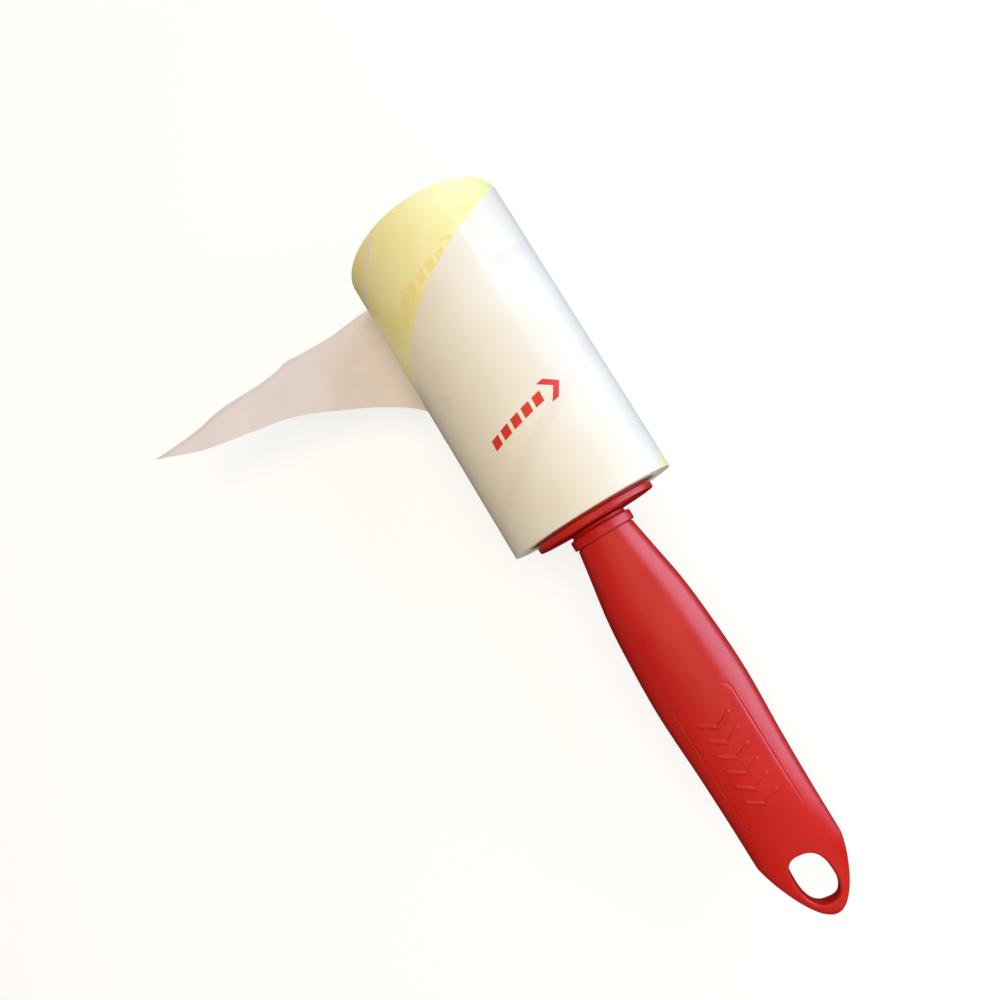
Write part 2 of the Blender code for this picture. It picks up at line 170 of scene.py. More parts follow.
# ================================================================================== materials
class Look:
    """A Principled material, with short calls for the texture nodes that feed it."""

    def __init__(self, name, **constants):
        self.material = bpy.data.materials.new(name)
        self.material.use_nodes = True
        self.tree = self.material.node_tree
        self.shader = self.tree.nodes["Principled BSDF"]
        for socket, value in constants.items():
            self.shader.inputs[socket.replace("_", " ")].default_value = value
        self.place = self.tree.nodes.new("ShaderNodeTexCoord").outputs["Object"]

    def node(self, kind, inputs=(), **settings):
        node = self.tree.nodes.new(kind)
        for key, value in settings.items():
            setattr(node, key, value)
        for key, value in inputs:
            self.feed(node.inputs[key], value)
        return node

    def feed(self, socket, value):
        if isinstance(value, bpy.types.NodeSocket):
            self.tree.links.new(value, socket)
        else:
            socket.default_value = value

    def set(self, socket, value):
        self.feed(self.shader.inputs[socket], value)

    def noise(self, scale, detail=3.0, roughness=0.55, stretch=(1.0, 1.0, 1.0)):
        """Noise from 0 to 1, in repeats per metre, squeezed along an axis by stretch."""
        place = self.node("ShaderNodeMapping", [("Vector", self.place), ("Scale", stretch)])
        node = self.node("ShaderNodeTexNoise", [("Vector", place.outputs[0]), ("Scale", scale),
                                                ("Detail", detail), ("Roughness", roughness)])
        return node.outputs["Fac"]

    def math(self, operation, first, second=0.0):
        return self.node("ShaderNodeMath", [(0, first), (1, second)],
                         operation=operation).outputs[0]

    def ramp(self, value, low, high, to_low=0.0, to_high=1.0):
        """A smooth step of value between low and high."""
        node = self.node("ShaderNodeMapRange", [("Value", value), ("From Min", low),
                                                ("From Max", high), ("To Min", to_low),
                                                ("To Max", to_high)],
                         interpolation_type="SMOOTHSTEP")
        return node.outputs[0]

    def mix(self, factor, first, second):
        node = self.node("ShaderNodeMix", [(0, factor), (6, first), (7, second)],
                         data_type="RGBA")
        return node.outputs[2]

    def bump(self, height, distance, strength=1.0, under=None):
        inputs = [("Height", height), ("Distance", distance), ("Strength", strength)]
        if under is not None:
            inputs.append(("Normal", under))
        return self.node("ShaderNodeBump", inputs).outputs[0]

    def parts(self):
        """X, Y and Z of the place on the piece."""
        return self.node("ShaderNodeSeparateXYZ", [(0, self.place)]).outputs

    def turn_angle(self):
        """Angle round the spin axis in radians, from 0 to two pi."""
        place = self.parts()
        angle = self.math("ARCTAN2", place[2], place[1])
        return self.math("FLOORED_MODULO", angle, math.tau)


def moulded_plastic(name, colour, dark, roughness):
    """Satin injection-moulded plastic: fine spark grain, faint flow marks, handled patches."""
    look = Look(name, Specular_IOR_Level=0.5, Coat_Weight=0.9, Coat_Roughness=0.3)
    flow = look.noise(60, 4, stretch=(0.35, 1.0, 1.0))
    grain = look.noise(5200, 2)
    shade = look.mix(look.ramp(flow, 0.35, 0.7), colour, dark)
    worn = look.ramp(look.noise(240, 5), 0.42, 0.75)
    look.set("Base Color", look.mix(look.math("MULTIPLY", grain, 0.25), shade, dark))
    look.set("Roughness", look.ramp(worn, 0.0, 1.0, roughness + 0.05, roughness - 0.07))
    swell = look.bump(look.noise(130, 2), 0.00006, 0.35)
    look.set("Normal", look.bump(grain, 0.000022, 0.5, swell))
    return look.material


def coated_paper(name, colour, warm, roughness, coat):
    """Smooth coated paper: fibre mottling, winding waves, a glossy coat, a faint spiral stripe of
    painted shade.

    The stripe is painted shade, pinkish grey, where the cut of the sheet beneath shows through.
    """
    look = Look(name, Specular_IOR_Level=0.22, Coat_Weight=coat, Coat_Roughness=0.12)
    fibre = look.noise(1500, 5, 0.65, (1.0, 0.55, 0.55))
    cloud = look.noise(38, 3)
    tone = look.mix(look.ramp(cloud, 0.3, 0.75), colour, warm)
    tone = look.mix(look.math("MULTIPLY", fibre, 0.16), tone, warm)
    turns = look.math("SUBTRACT", look.math("DIVIDE", look.turn_angle(), math.tau),
                      look.math("DIVIDE", look.parts()[0], CUT_LEAD))
    off = look.math("SUBTRACT", look.math("FRACT", look.math("ADD", turns, 4.0)),
                    CUT_SHADOW_TURN)
    # painted shade: a faint pinkish-grey stripe along the cut of the sheet beneath
    painted_cut_shade = look.ramp(look.math("ABSOLUTE", off), 0.012, 0.032, 0.45, 0.0)
    look.set("Base Color", look.mix(painted_cut_shade, tone, srgb(236, 224, 224)))
    look.set("Roughness", look.ramp(fibre, 0.3, 0.8, roughness, roughness + 0.1))
    waves = look.bump(look.noise(150, 3, stretch=(0.5, 1.0, 1.0)), 0.00018, 0.30)
    look.set("Normal", look.bump(fibre, 0.000015, 0.5, waves))
    return look.material


def adhesive_paper(name):
    """The yellow sticky sheet: deeper blotches in the glue and a bare seam along the next cut."""
    look = Look(name, Specular_IOR_Level=0.5)
    pale, deep = srgb(250, 246, 196), srgb(245, 236, 162)
    bare = srgb(245, 234, 226)
    blotch = look.noise(70, 4)
    speck = look.noise(2100, 4, 0.7)
    glue = look.mix(look.ramp(blotch, 0.32, 0.72), pale, deep)
    glue = look.mix(look.math("MULTIPLY", speck, 0.22), glue, deep)
    x = look.parts()[0]
    # The seam starts along the spiral and flattens out round the roll.
    past = look.math("SUBTRACT", look.turn_angle(), BARE_SEAM_START)
    past = look.math("MINIMUM", look.math("MAXIMUM", past, 0.0), BARE_SEAM_TURN)
    rise = look.math("MULTIPLY", past, BARE_SEAM_RISE)
    fall = look.math("MULTIPLY", look.math("MULTIPLY", past, past), BARE_SEAM_BEND)
    seam = look.math("SUBTRACT", rise, fall)
    away = look.math("ABSOLUTE", look.math("SUBTRACT", x, seam))
    line = look.ramp(away, 0.0007, 0.0012, 1.0, 0.0)
    line = look.math("MULTIPLY", line, look.ramp(past, 0.0, 0.02))
    look.set("Base Color", look.mix(line, glue, bare))
    look.set("Roughness", look.ramp(blotch, 0.3, 0.7, 0.34, 0.46))
    waves = look.bump(look.noise(170, 3, stretch=(0.5, 1.0, 1.0)), 0.00015, 0.3)
    look.set("Normal", look.bump(speck, 0.00003, 0.5, waves))
    return look.material


def backing_paper(name):
    """The uncoated inner face of the cover sheet: pinkish grey, fibrous and matt."""
    look = Look(name, Specular_IOR_Level=0.25)
    pink, grey = srgb(240, 233, 242), srgb(232, 225, 231)
    fibre = look.noise(1700, 6, 0.7, (1.0, 0.5, 0.5))
    cloud = look.noise(55, 4)
    tone = look.mix(look.ramp(cloud, 0.3, 0.72), pink, grey)
    look.set("Base Color", look.mix(look.math("MULTIPLY", fibre, 0.35), tone, grey))
    look.set("Roughness", look.ramp(fibre, 0.3, 0.8, 0.62, 0.78))
    waves = look.bump(cloud, 0.0004, 0.3)
    look.set("Normal", look.bump(fibre, 0.00003, 0.6, waves))
    return look.material


def layered_paper(name):
    """The wound sheets seen edge on: pale paper with thin glue lines between the turns."""
    look = Look(name, Specular_IOR_Level=0.3)
    y, z = look.parts()[1:]
    radius = look.math("SQRT", look.math("ADD", look.math("MULTIPLY", y, y),
                                         look.math("MULTIPLY", z, z)))
    turns = look.math("SUBTRACT", look.math("DIVIDE", radius, RIDGE_PITCH),
                      look.math("DIVIDE", look.turn_angle(), math.tau))
    edge = look.math("FRACT", turns)
    paper = look.mix(look.ramp(look.noise(600, 5), 0.3, 0.7), srgb(247, 245, 239),
                     srgb(234, 230, 220))
    line = look.ramp(look.math("ABSOLUTE", look.math("SUBTRACT", edge, 0.5)), 0.05, 0.22, 0.55, 0.0)
    look.set("Base Color", look.mix(line, paper, srgb(220, 210, 180)))
    look.set("Roughness", look.ramp(edge, 0.0, 1.0, 0.7, 0.85))
    look.set("Normal", look.bump(look.noise(2600, 4), 0.00005, 0.6))
    return look.material


def cardboard(name):
    """Grey-brown spiral-wound board with flecks of fibre."""
    look = Look(name, Specular_IOR_Level=0.2)
    strip = 36.0 * MM                       # advance of the wound board strip in one turn
    along = look.math("DIVIDE", look.parts()[0], strip)
    wrap = look.math("FRACT", look.math("ADD", along,
                                        look.math("DIVIDE", look.turn_angle(), math.tau)))
    seam = look.ramp(look.math("ABSOLUTE", look.math("SUBTRACT", wrap, 0.5)), 0.0, 0.02, 0.7, 0.0)
    fibre = look.noise(900, 6, 0.7, (0.4, 1.0, 1.0))
    board = look.mix(look.ramp(fibre, 0.3, 0.7), srgb(176, 146, 112), srgb(140, 112, 84))
    look.set("Base Color", look.mix(seam, board, srgb(96, 74, 54)))
    look.set("Roughness", look.ramp(fibre, 0.3, 0.7, 0.8, 0.95))
    ridge = look.bump(look.math("SUBTRACT", 1.0, seam), 0.0001, 0.6)
    look.set("Normal", look.bump(fibre, 0.00008, 0.6, ridge))
    return look.material


def print_ink(name, colour, faded):
    """Flexo ink that thins out where the paper's fibres stand up."""
    look = Look(name, Specular_IOR_Level=0.4, Coat_Weight=0.2, Coat_Roughness=0.2)
    speck = look.noise(3800, 4, 0.7)
    look.set("Base Color", look.mix(look.ramp(speck, 0.45, 0.8, 0.0, 0.5), colour, faded))
    look.set("Roughness", look.ramp(speck, 0.3, 0.8, 0.32, 0.5))
    look.set("Normal", look.bump(speck, 0.00001, 0.5))
    return look.material


RED = moulded_plastic("red_plastic", srgb(212, 30, 22), srgb(200, 18, 13), 0.40)
DEEP_RED = moulded_plastic("deep_red_plastic", srgb(186, 20, 22), srgb(166, 10, 14), 0.36)
WHITE = coated_paper("white_cover", srgb(241, 238, 231), srgb(237, 231, 218), 0.38, 0.26)
YELLOW = adhesive_paper("yellow_adhesive")
BACKING = backing_paper("pink_backing")
LAYERS = layered_paper("wound_layers")
BOARD = cardboard("core_board")
RED_INK = print_ink("red_ink", srgb(222, 52, 40), srgb(236, 110, 96))
GHOST_INK = print_ink("ghost_ink", srgb(236, 226, 228), srgb(238, 232, 228))
GHOST_ON_YELLOW = print_ink("ghost_ink_on_yellow", srgb(246, 231, 158), srgb(247, 238, 172))


# ================================================================================== mesh tools
def make(name, points, faces, *materials, smooth_angle=35.0):
    """A smooth-shaded object from points and faces, with its normals facing out."""
    bm = bmesh.new()
    verts = [bm.verts.new(point) for point in points]
    for face in faces:
        bm.faces.new([verts[k] for k in face])
    bmesh.ops.recalc_face_normals(bm, faces=bm.faces[:])
    return finish_mesh(bm, name, *materials, smooth_angle=smooth_angle)


def finish_mesh(bm, name, *materials, smooth_angle=35.0):
    """Turn a bmesh into a smooth-shaded object, with edges above an angle left sharp."""
    mesh = bpy.data.meshes.new(name)
    bm.to_mesh(mesh)
    bm.free()
    for material in materials:
        mesh.materials.append(material)
    mesh.shade_smooth()
    mesh.set_sharp_from_angle(angle=math.radians(smooth_angle))
    obj = bpy.data.objects.new(name, mesh)
    bpy.context.collection.objects.link(obj)
    return obj


def turned(profile, segments=112):
    """Solid of revolution about X. A profile of (x, r) is closed, or starts and ends on the axis."""
    points, rings = [], []
    for x, r in profile:
        count = 1 if r == 0.0 else segments
        rings.append(range(len(points), len(points) + count))
        for k in range(count):
            angle = math.tau * k / segments
            points.append((x, r * math.cos(angle), r * math.sin(angle)))
    on_axis = profile[0][1] == 0.0
    pairs = list(zip(rings, rings[1:])) + ([] if on_axis else [(rings[-1], rings[0])])
    faces = []
    for first, second in pairs:
        for k in range(segments):
            n = (k + 1) % segments
            corners = [first[k % len(first)], first[n % len(first)],
                       second[n % len(second)], second[k % len(second)]]
            faces.append(list(dict.fromkeys(corners)))
    return points, faces


def rounded(profile, radius, steps=4, skip=()):
    """Round the corners of a turned profile, apart from those named in skip."""
    out = []
    for k, corner in enumerate(profile):
        before = Vector(profile[k - 1])
        after = Vector(profile[(k + 1) % len(profile)])
        corner = Vector(corner)
        into, away = corner - before, after - corner
        reach = min(radius, 0.45 * into.length, 0.45 * away.length)
        if k in skip or corner.y == 0.0 or reach <= 0.0:
            out.append(tuple(corner))
            continue
        start = corner - into.normalized() * reach
        end = corner + away.normalized() * reach
        for step in range(steps + 1):
            t = step / steps
            out.append(tuple((1 - t) ** 2 * start + 2 * t * (1 - t) * corner + t * t * end))
    return out


def combine(obj, other, operation):
    """Union with, or cut by, a helper object, which is then removed."""
    modifier = obj.modifiers.new(other.name, "BOOLEAN")
    modifier.operation = operation
    modifier.solver = "EXACT"
    modifier.object = other
    graph = bpy.context.evaluated_depsgraph_get()
    result = bpy.data.meshes.new_from_object(obj.evaluated_get(graph))
    obj.modifiers.clear()
    obj.data = result
    result.set_sharp_from_angle(angle=math.radians(35))
    bpy.data.objects.remove(other, do_unlink=True)


def block(name, low, high, turn=0.0, bevel=0.0):
    """A box, bevelled and turned about the X axis, as a helper for combine."""
    bm = bmesh.new()
    bmesh.ops.create_cube(bm, size=1.0)
    for vert in bm.verts:
        for axis in range(3):
            vert.co[axis] = low[axis] if vert.co[axis] < 0 else high[axis]
    if bevel:
        bmesh.ops.bevel(bm, geom=bm.edges[:], offset=bevel, segments=2, affect="EDGES")
    bmesh.ops.rotate(bm, verts=bm.verts[:], matrix=Matrix.Rotation(turn, 3, "X"))
    return finish_mesh(bm, name)


def track(points):
    """A smooth curve through (x, value) points given in millimetres, as a function in metres."""
    slopes = []
    for k in range(len(points)):
        before, after = points[max(k - 1, 0)], points[min(k + 1, len(points) - 1)]
        slopes.append((after[1] - before[1]) / (after[0] - before[0]))

    def value(x):
        x = min(max(x / MM, points[0][0]), points[-1][0])
        k = max(i for i in range(len(points) - 1) if points[i][0] <= x)
        (x0, v0), (x1, v1) = points[k], points[k + 1]
        span = x1 - x0
        t = (x - x0) / span
        blend = t * t * (3 - 2 * t)
        lead_in = span * slopes[k] * t * (1 - t) ** 2
        lead_out = span * slopes[k + 1] * t * t * (t - 1)
        return (v0 + (v1 - v0) * blend + lead_in + lead_out) * MM

    return value


def smoothstep(value, low, high):
    """0 at low, 1 at high, with a smooth start and end; low may be the greater."""
    t = min(max((value - low) / (high - low), 0.0), 1.0)
    return t * t * (3 - 2 * t)


def settle(obj, body, slot, *nodes):
    """Attach a finished piece to its body and hide the CAD nodes that it stands for."""
    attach(obj, body)
    if nodes:
        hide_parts(*nodes)


# ================================================================================== refill
def on_roll(x, angle, radius):
    """The point at a place along the roll, an angle round it and a radius."""
    return (x, radius * math.cos(angle), radius * math.sin(angle))


def core_tube():
    """The board tube, its ends a little ragged and its rims softened."""
    ends = 0.12 * MM
    profile = [(ends, CORE_INNER), (ROLL_LENGTH - ends, CORE_INNER),
               (ROLL_LENGTH - ends, CORE_OUTER), (ends, CORE_OUTER)]
    points, faces = turned(rounded(profile, 0.35 * MM), 144)
    ragged = []
    for x, y, z in points:
        rough = noise.noise(Vector((x, y, z)) * 900) * 0.05 * MM
        ragged.append((x + rough, y, z))
    settle(make("core_board", ragged, faces, BOARD), "refill", "core", "core_tube")


def winding():
    """The wound sheets under the top two, with fine ridges on both ends."""
    inner = CORE_OUTER + 0.02 * MM
    count = int((WINDING_RADIUS - inner) / RIDGE_PITCH)
    groove = 0.07 * MM
    far, near = [], []
    for k in range(count):
        start = inner + k * RIDGE_PITCH
        uneven = 0.05 * MM * noise.noise(Vector((k * 1.7, 0.3, 0.0)))
        stop = WINDING_RADIUS if k == count - 1 else start + RIDGE_PITCH
        for rim, sign, ends in ((far, 1, 0.0), (near, -1, ROLL_LENGTH)):
            top = ends + sign * (0.07 * MM + uneven)
            rim += [(top + sign * groove, start), (top, start + 0.25 * RIDGE_PITCH),
                    (top, stop - 0.12 * RIDGE_PITCH)]
    profile = far + list(reversed(near))
    points, faces = turned(profile, 144)
    settle(make("wound_paper", points, faces, LAYERS, smooth_angle=50), "refill", "winding",
           "paper_winding")


def next_sheet():
    """The sticky sheet under the cover, a closed sleeve one sheet thick."""
    margin = 0.04 * MM
    steps = 50
    outer = [(margin + (ROLL_LENGTH - 2 * margin) * k / steps, NEXT_RADIUS)
             for k in range(steps + 1)]
    inner = [(margin, NEXT_RADIUS - PAPER), (ROLL_LENGTH - margin, NEXT_RADIUS - PAPER)]
    points, faces = turned(inner + list(reversed(outer)), 192)
    sleeve = make("sticky_sheet", points, faces, YELLOW)
    settle(sleeve, "refill", "next_sheet", "next_sheet")


def cut_x(angle):
    """X of the spiral cut at an unrolled angle; it bows where the corner has been peeled."""
    straight = CUT_LEAD * (angle - CUT_START) / math.tau
    bow = math.exp(-((angle - math.tau - CUT_BEND_AT) / CUT_BEND_SPREAD) ** 2)
    return straight + CUT_BEND * bow - (CUT_LEAD if angle > CUT_START + math.tau else 0.0)


def perforation(along):
    """Small ticks that a perforated cut leaves along a torn edge."""
    phase = (along / PERFORATION_PITCH) % 1.0
    return PERFORATION_DEPTH * max(0.0, 1.0 - 6.0 * abs(phase - 0.5))


def cover_radius(angle):
    """The cover lies a sheet deeper after each turn."""
    return ROLL_RADIUS - TURN_STEP * (angle - PEEL_ANGLE) / math.tau


def cover_sheet():
    """The cover still on the roll: a parallelogram wound from the peel line for over a turn.

    Its leading edge is the spiral cut from the peel line to the near rim. Its trailing edge is
    the same spiral one turn later, so its end is tucked under its start.
    """
    lead_per_radian = CUT_LEAD / math.tau
    leaves_far_rim = CUT_START + math.tau
    reaches_near_rim = CUT_START + ROLL_LENGTH / lead_per_radian
    last_angle = reaches_near_rim + math.tau
    step = math.radians(1.25)
    rows = 40
    narrowest = 0.02 * MM                   # the sheet's end is this wide, not a bare point
    columns = int((last_angle - PEEL_ANGLE) / step)
    grid = []
    for i in range(columns + 1):
        angle = PEEL_ANGLE + (last_angle - PEEL_ANGLE) * i / columns
        low = 0.0
        if angle > leaves_far_rim:
            along = (angle - leaves_far_rim) * ROLL_RADIUS
            low = max(cut_x(angle) + perforation(along), 0.0)
        if angle > last_angle - math.tau + math.radians(0.01):
            high = ROLL_LENGTH
        else:
            high = min(lead_per_radian * (angle - CUT_START), ROLL_LENGTH)
        low = min(low, ROLL_LENGTH - narrowest)
        radius = cover_radius(angle)
        grid.append([on_roll(low + (high - low) * j / rows, angle, radius)
                     for j in range(rows + 1)])
    sheet = thin_sheet("cover_sheet", grid, WHITE, WHITE, towards_axis=True)
    settle(sheet, "refill", "outer_sheet", "outer_sheet")
    peeled = 0.5 * (PEEL_ANGLE - CUT_START) * ROLL_RADIUS * CUT_LEAD * (PEEL_ANGLE - CUT_START)
    peeled /= math.tau


def thin_sheet(name, grid, upper, lower, towards_axis=False):
    """Close a grid of points into a sheet one paper thick, with a material on each face.

    The thickness goes towards the spin axis if towards_axis, else below the grid.
    """
    rows, columns = len(grid), len(grid[0])
    top = [Vector(point) for row in grid for point in row]
    under = []
    for i in range(rows):
        for j in range(columns):
            point = top[i * columns + j]
            if towards_axis:
                inward = -Vector((0.0, point.y, point.z)).normalized()
            else:
                ahead = top[min(i + 1, rows - 1) * columns + j] - top[max(i - 1, 0) * columns + j]
                aside = (top[i * columns + min(j + 1, columns - 1)]
                         - top[i * columns + max(j - 1, 0)])
                inward = ahead.cross(aside)
                inward = (-inward if inward.z > 0 else inward).normalized()
            under.append(point + inward * PAPER)
    count = len(top)
    faces, slots = [], []

    def quad(a, b, c, d, slot):
        faces.append((a, b, c, d))
        slots.append(slot)

    for i in range(rows - 1):
        for j in range(columns - 1):
            a, b = i * columns + j, i * columns + j + 1
            c, d = b + columns, a + columns
            quad(a, b, c, d, 0)
            quad(count + d, count + c, count + b, count + a, 1)
    for j in range(columns - 1):
        for i in (0, rows - 1):
            a = i * columns + j
            quad(a, a + 1, count + a + 1, count + a, 0)
    for i in range(rows - 1):
        for j in (0, columns - 1):
            a = i * columns + j
            quad(a, a + columns, count + a + columns, count + a, 0)
    bm = bmesh.new()
    verts = [bm.verts.new(point) for point in top + under]
    for corners, slot in zip(faces, slots):
        face = bm.faces.new([verts[k] for k in corners])
        face.material_index = slot
    bmesh.ops.remove_doubles(bm, verts=bm.verts[:], dist=0.004 * MM)
    bmesh.ops.recalc_face_normals(bm, faces=bm.faces[:])
    return finish_mesh(bm, name, upper, lower, smooth_angle=50)


# ---------------------------------------------------------------------------- peeled corner
# The flap's two long edges as (x, y, z) in millimetres, from the peel line to the tip
FLAP_FREE_EDGE = [(0.0, -25.3, -11.6), (-0.5, -30.1, -8.8), (0.1, -45.8, -6.5), (-0.8, -58.3, -4.8),
                  (-1.4, -63.4, -4.1), (-0.5, -67.7, -3.4), (0.0, -75.7, -2.3),
                  (-0.5, -86.1, -1.2), (-0.6, -94.3, -0.5), (0.3, -104.2, -0.2),
                  (0.0, -118.7, 0.4)]
FLAP_CUT_EDGE = [(49.8, -25.2, -11.9), (40.8, -30.1, -9.2), (31.8, -41.4, -7.3), (22.6, -58.1, -5.0),
                 (16.9, -70.6, -3.1), (12.5, -87.8, -1.1), (8.1, -104.7, -0.2), (3.9, -115.2, 0.3)]
FLAP_TIP = (-0.5, -124.7, 0.6)
FLAP_BOW = 0.7 * MM                         # how far the flap arches across its width
FLAP_LIP = 0.35 * MM                        # how far the free edge curls down
FLAP_LIP_WIDTH = 1.6 * MM
FLAP_RIPPLE = 0.12 * MM                     # uneven waves in the loose paper


def edge_curve(points):
    """X and Z along an edge as functions of its Y."""
    down = [(-y, x) for x, y, z in points]
    height = [(-y, z) for x, y, z in points]
    return track(down), track(height)


def flap_grid():
    """Points of the flap's upper face, in rows from the peel line to the tip."""
    root_y = ROLL_RADIUS * math.cos(PEEL_ANGLE) / MM
    root_z = ROLL_RADIUS * math.sin(PEEL_ANGLE) / MM
    root_width = CUT_LEAD * (PEEL_ANGLE - CUT_START) / math.tau / MM
    free_x, free_z = edge_curve([(0.0, root_y, root_z), *FLAP_FREE_EDGE, FLAP_TIP])
    cut_x_of, cut_z = edge_curve([(root_width, root_y, root_z), *FLAP_CUT_EDGE, FLAP_TIP])
    lengthwise, across = 120, 26
    grid = []
    for i in range(lengthwise + 1):
        t = i / lengthwise
        down = (-root_y + (-FLAP_TIP[1] + root_y) * t ** 1.15) * MM
        left, right = free_x(down), max(cut_x_of(down), free_x(down) + 0.05 * MM)
        row = []
        for j in range(across + 1):
            v = j / across
            x = left + (right - left) * v
            away = smoothstep(t, 0.0, 0.12)
            bow = FLAP_BOW * 4 * v * (1 - v) * away * min(1.0, (right - left) / (20 * MM))
            lip = FLAP_LIP * smoothstep(x - left, FLAP_LIP_WIDTH, 0.0) * away
            ripple = FLAP_RIPPLE * noise.noise(Vector((x * 60, down * 45, 0.7))) * away
            z = free_z(down) + (cut_z(down) - free_z(down)) * v + bow - lip + ripple
            row.append((x, -down, z))
        grid.append(row)
    return grid


def peeled_corner():
    """The cover's peeled corner, its inner face up, still joined to the roll at the peel line."""
    flap = thin_sheet("peeled_corner", flap_grid(), BACKING, WHITE)
    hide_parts("peeled_flap")
    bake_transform(flap)


# ---------------------------------------------------------------------------- printed marks
ARROW_LEAN = math.radians(12.5)
INK_FILM = 0.012 * MM
# Name, middle as X in millimetres and angle in degrees, ink
MARKS_ON_COVER = (("printed_arrow", 68.9, 87.0, RED_INK),
                  ("ghost_arrow_right", 24.9, 26.5, GHOST_INK),
                  ("ghost_arrow_left", 55.0, 150.0, GHOST_INK))
MARK_ON_STICKY_SHEET = ("ghost_arrow_sticky", 20.1, 91.0, GHOST_ON_YELLOW)


def arrow_mark():
    """A plain peel arrow: each stroke is rows of (start, end, height) in millimetres."""
    strokes = []
    dashes, slant = 5, 0.27
    for k in range(dashes):
        start = -13.0 + 4.1 * k
        strokes.append([(start + slant * (v + 1.5), start + slant * (v + 1.5) + 2.9, v)
                        for v in np.linspace(-1.5, 1.5, 5)])
    strokes.append([(11.0 - 1.03 * abs(v), 13.4 - 1.03 * abs(v), v)
                    for v in np.linspace(-3.3, 3.3, 13)])
    return strokes


def printed(name, x, angle, radius, ink, slot):
    """The arrow as thin ink on the roll, its head towards smaller angles."""
    bm = bmesh.new()
    across = 5
    for stroke in arrow_mark():
        rows = []
        for start, end, v in stroke:
            row = []
            for step in range(across + 1):
                along = (start + (end - start) * step / across) * MM
                up = v * MM
                arc = along * math.cos(ARROW_LEAN) - up * math.sin(ARROW_LEAN)
                side = along * math.sin(ARROW_LEAN) + up * math.cos(ARROW_LEAN)
                row.append(bm.verts.new(on_roll(x - side, angle - arc / radius,
                                                radius + INK_FILM)))
            rows.append(row)
        for below, above in zip(rows, rows[1:]):
            for k in range(across):
                bm.faces.new((below[k], below[k + 1], above[k + 1], above[k]))
    shell = bmesh.ops.extrude_face_region(bm, geom=bm.faces[:])
    for item in shell["geom"]:
        if isinstance(item, bmesh.types.BMVert):
            out = Vector((0.0, item.co.y, item.co.z)).normalized()
            item.co -= out * 1.6 * INK_FILM     # the ink's underside is sunk into the paper
    bmesh.ops.recalc_face_normals(bm, faces=bm.faces[:])
    settle(finish_mesh(bm, name, ink), "refill", slot)


def refill():
    """Core, winding, the two top sheets, the peeled corner and the printed arrows."""
    core_tube()
    winding()
    next_sheet()
    cover_sheet()
    peeled_corner()
    for name, x, degrees, ink in MARKS_ON_COVER:
        angle = math.radians(degrees)
        printed(name, x * MM, angle, cover_radius(angle + math.tau), ink, "outer_sheet")
    name, x, degrees, ink = MARK_ON_STICKY_SHEET
    printed(name, x * MM, math.radians(degrees), NEXT_RADIUS, ink, "next_sheet")


# ================================================================================== spool
def spool_hub():
    """Hub tube, flange, two grip rings and six fins, joined into one moulding."""
    inner = GRIP_RADIUS - GRIP_WALL
    ring_start = FLANGE_START - GRIP_RING
    dish = FLANGE_END - DISH_DEPTH
    profile = [(POCKET_END, BORE_RADIUS), (FLANGE_END, BORE_RADIUS),
               (FLANGE_END, DISH_RADII[0]), (dish, DISH_RADII[1]), (dish, DISH_RADII[2]),
               (FLANGE_END, DISH_RADII[3]), (FLANGE_END, FLANGE_RADIUS),
               (FLANGE_START, FLANGE_RADIUS), (FLANGE_START, GRIP_RADIUS),
               (ring_start, GRIP_RADIUS), (ring_start, inner), (FLANGE_START, inner),
               (FLANGE_START, HUB_RADIUS), (HUB_START, HUB_RADIUS), (HUB_START, POCKET_RADIUS),
               (POCKET_END, POCKET_RADIUS)]
    hub = make("spool", *turned(rounded(profile, 0.55 * MM)), RED)
    ring = [(HUB_START, inner), (FIN_START + GRIP_RING, inner),
            (FIN_START + GRIP_RING, GRIP_RADIUS), (HUB_START, GRIP_RADIUS)]
    combine(hub, make("far_ring", *turned(rounded(ring, 0.4 * MM))), "UNION")
    for k in range(FIN_COUNT):
        low = (FIN_START, HUB_RADIUS - 0.6 * MM, -FIN_THICKNESS / 2)
        high = (FLANGE_START + 0.5 * MM, GRIP_RADIUS - 0.1 * MM, FIN_THICKNESS / 2)
        fin = block(f"fin_{k + 1}", low, high, math.tau * (k + 0.5) / FIN_COUNT, 0.3 * MM)
        combine(hub, fin, "UNION")
    settle(hub, "spool", "spool", "spool_hub")


def spool_end_cap():
    """Disc with a flat boss and rim, a ring-shaped recess between them, and ribs across it."""
    skirt = GRIP_RADIUS - GRIP_WALL - 0.3 * MM
    profile = [(0.0, 0.0), (0.0, CAP_RECESS_RADII[0]), (CAP_RECESS, CAP_RECESS_RADII[1]),
               (CAP_RECESS, CAP_RECESS_RADII[2]), (0.0, CAP_RECESS_RADII[3]),
               (0.0, GRIP_RADIUS), (CAP_DISC, GRIP_RADIUS), (CAP_DISC, skirt),
               (CAP_SKIRT_END, skirt), (CAP_SKIRT_END, skirt - 1.6 * MM),
               (CAP_DISC, skirt - 1.6 * MM), (CAP_DISC, 0.0)]
    cap = make("end_cap", *turned(rounded(profile, 0.45 * MM)), DEEP_RED)
    for k in range(CAP_RIBS):
        rib = block(f"cap_rib_{k + 1}", CAP_RIB_LOW, CAP_RIB_HIGH, math.tau * k / CAP_RIBS,
                    0.2 * MM)
        combine(cap, rib, "UNION")
    settle(cap, "spool", "spool", "spool_end_cap")


